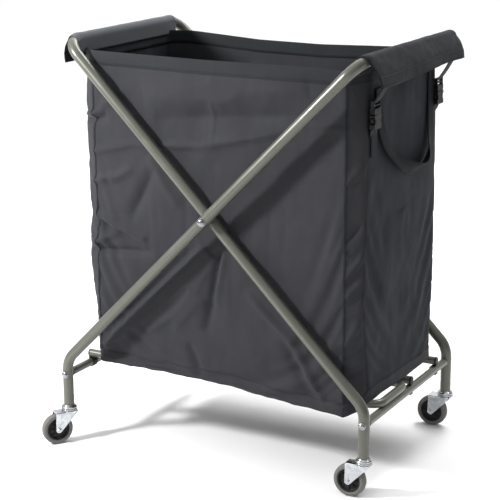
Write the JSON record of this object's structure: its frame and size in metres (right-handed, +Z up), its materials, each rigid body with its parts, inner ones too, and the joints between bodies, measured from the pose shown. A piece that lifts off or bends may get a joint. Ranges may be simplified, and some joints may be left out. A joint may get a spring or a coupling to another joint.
{
  "type": "laundry cart",
  "caption": "Folding X-frame cart: crossed bent-tube frames on swivel casters carry an open fabric bag over two base rails.",
  "frame": {"origin": "on the floor, at the middle of the cart's bounding box", "axes": "+Z up, +X to the right along the wide front face, +Y from the front towards the back"},
  "size_m": [0.8326, 0.6554, 0.9762],
  "materials": {
    "satin_grey_paint": "satin powder coat, light warm grey",
    "bright_zinc": "bright zinc plate on pressed steel",
    "chrome_steel": "polished plate",
    "grey_rubber": "light grey non-marking rubber, matt",
    "black_plastic": "moulded black plastic",
    "charcoal_polyester": "coated woven polyester, charcoal grey",
    "charcoal_webbing": "ribbed woven webbing, charcoal"
  },
  "bodies": {
    "pivot": {"pivot_bolt_front": "chrome_steel", "pivot_bolt_back": "chrome_steel", "pivot_nut_front": "chrome_steel", "pivot_nut_back": "chrome_steel", "pivot_washer_front": "black_plastic", "pivot_washer_back": "black_plastic"},
    "outer_frame": {"outer_frame_tube": "satin_grey_paint", "left_crossbar": "satin_grey_paint", "left_crossbar_bolt_front": "chrome_steel", "left_crossbar_bolt_back": "chrome_steel", "caster_front_left_stem": "chrome_steel", "caster_back_left_stem": "chrome_steel"},
    "inner_frame": {"inner_frame_tube": "satin_grey_paint", "right_crossbar": "satin_grey_paint", "right_crossbar_bolt_front": "chrome_steel", "right_crossbar_bolt_back": "chrome_steel", "caster_front_right_stem": "chrome_steel", "caster_back_right_stem": "chrome_steel"},
    "front_base": {"front_base_rail": "satin_grey_paint", "front_base_clip_outer": "black_plastic", "front_base_clip_inner": "black_plastic"},
    "rear_base": {"rear_base_rail": "satin_grey_paint", "rear_base_clip_outer": "black_plastic", "rear_base_clip_inner": "black_plastic"},
    "bag": {"bag_front": "charcoal_polyester", "bag_back": "charcoal_polyester"},
    "bag_base": {"bag_floor": "charcoal_polyester"},
    "right_side": {"bag_right": "charcoal_polyester", "right_flap": "charcoal_polyester", "right_front_buckle_plug": "black_plastic", "right_front_buckle_socket": "black_plastic", "right_back_buckle_plug": "black_plastic", "right_back_buckle_socket": "black_plastic"},
    "left_side": {"bag_left": "charcoal_polyester", "left_flap": "charcoal_polyester", "left_front_buckle_plug": "black_plastic", "left_front_buckle_socket": "black_plastic", "left_back_buckle_plug": "black_plastic", "left_back_buckle_socket": "black_plastic"},
    "right_loop": {"right_handle": "charcoal_webbing"},
    "left_loop": {"left_handle": "charcoal_webbing"},
    "front_left_swivel": {"caster_front_left_fork": "bright_zinc", "caster_front_left_axle": "bright_zinc"},
    "front_left_wheel": {"caster_front_left_hub": "black_plastic", "caster_front_left_tyre": "grey_rubber"},
    "back_left_swivel": {"caster_back_left_fork": "bright_zinc", "caster_back_left_axle": "bright_zinc"},
    "back_left_wheel": {"caster_back_left_hub": "black_plastic", "caster_back_left_tyre": "grey_rubber"},
    "front_right_swivel": {"caster_front_right_fork": "bright_zinc", "caster_front_right_axle": "bright_zinc"},
    "front_right_wheel": {"caster_front_right_hub": "black_plastic", "caster_front_right_tyre": "grey_rubber"},
    "back_right_swivel": {"caster_back_right_fork": "bright_zinc", "caster_back_right_axle": "bright_zinc"},
    "back_right_wheel": {"caster_back_right_hub": "black_plastic", "caster_back_right_tyre": "grey_rubber"}
  },
  "joints": [
    {"name": "outer_fold", "type": "hinge", "parent": "pivot", "child": "outer_frame", "pos_m": [0.0108, 0, 0.589], "axis": [0, -1, 0], "range_deg": [0, 30], "deforming": ["bag_front", "bag_back", "bag_left", "bag_right", "bag_floor"]},
    {"name": "inner_fold", "type": "hinge", "parent": "pivot", "child": "inner_frame", "pos_m": [0.0108, 0, 0.589], "axis": [0, -1, 0], "range_deg": [-30, 0]},
    {"name": "front_base_lift", "type": "hinge", "parent": "outer_frame", "child": "front_base", "pos_m": [-0.3702, 0, 0.1715], "axis": [0, -1, 0], "range_deg": [0, 48]},
    {"name": "rear_base_lift", "type": "hinge", "parent": "inner_frame", "child": "rear_base", "pos_m": [0.3918, 0, 0.1715], "axis": [0, 1, 0], "range_deg": [0, 48]},
    {"name": "bag_lift", "type": "slide", "parent": "pivot", "child": "bag", "axis": [0, 0, 1], "range_m": [0, 0.1352]},
    {"name": "floor_lift", "type": "slide", "parent": "pivot", "child": "bag_base", "axis": [0, 0, 1], "range_m": [0, 0.605]},
    {"name": "right_side_hang", "type": "hinge", "parent": "outer_frame", "child": "right_side", "pos_m": [0.3808, 0, 0.961], "axis": [0, -1, 0], "range_deg": [-30, 0]},
    {"name": "left_side_hang", "type": "hinge", "parent": "inner_frame", "child": "left_side", "pos_m": [-0.3592, 0, 0.961], "axis": [0, -1, 0], "range_deg": [0, 30]},
    {"name": "right_handle_swing", "type": "hinge", "parent": "right_side", "child": "right_loop", "pos_m": [0.3708, 0, 0.893], "axis": [0, -1, 0], "range_deg": [0, 75]},
    {"name": "left_handle_swing", "type": "hinge", "parent": "left_side", "child": "left_loop", "pos_m": [-0.3492, 0, 0.893], "axis": [0, 1, 0], "range_deg": [0, 75]},
    {"name": "front_left_swivel_turn", "type": "hinge", "parent": "outer_frame", "child": "front_left_swivel", "pos_m": [-0.3702, -0.2677, 0.09], "axis": [0, 0, 1], "continuous": true},
    {"name": "front_left_wheel_spin", "type": "hinge", "parent": "front_left_swivel", "child": "front_left_wheel", "pos_m": [-0.38855, -0.29391, 0.0375], "axis": [0.8192, -0.5736, 0], "continuous": true},
    {"name": "back_left_swivel_turn", "type": "hinge", "parent": "outer_frame", "child": "back_left_swivel", "pos_m": [-0.3702, 0.2677, 0.09], "axis": [0, 0, 1], "continuous": true},
    {"name": "back_left_wheel_spin", "type": "hinge", "parent": "back_left_swivel", "child": "back_left_wheel", "pos_m": [-0.38855, 0.29391, 0.0375], "axis": [-0.8192, -0.5736, 0], "continuous": true},
    {"name": "front_right_swivel_turn", "type": "hinge", "parent": "inner_frame", "child": "front_right_swivel", "pos_m": [0.3918, -0.2407, 0.09], "axis": [0, 0, 1], "continuous": true},
    {"name": "front_right_wheel_spin", "type": "hinge", "parent": "front_right_swivel", "child": "front_right_wheel", "pos_m": [0.3598, -0.2407, 0.0375], "axis": [0, 1, 0], "continuous": true},
    {"name": "back_right_swivel_turn", "type": "hinge", "parent": "inner_frame", "child": "back_right_swivel", "pos_m": [0.3918, 0.2407, 0.09], "axis": [0, 0, 1], "continuous": true},
    {"name": "back_right_wheel_spin", "type": "hinge", "parent": "back_right_swivel", "child": "back_right_wheel", "pos_m": [0.3598, 0.2407, 0.0375], "axis": [0, 1, 0], "continuous": true}
  ],
  "couplings": [
    {"joint": "inner_fold", "follows": "outer_fold", "ratio": -1},
    {"joint": "front_base_lift", "follows": "outer_fold", "ratio": 1.6},
    {"joint": "rear_base_lift", "follows": "outer_fold", "ratio": 1.6},
    {"joint": "bag_lift", "follows": "outer_fold", "m_per_rad": 0.2581},
    {"joint": "floor_lift", "follows": "outer_fold", "m_per_rad": 1.1554},
    {"joint": "right_side_hang", "follows": "outer_fold", "ratio": -1},
    {"joint": "left_side_hang", "follows": "outer_fold", "ratio": 1}
  ]
}
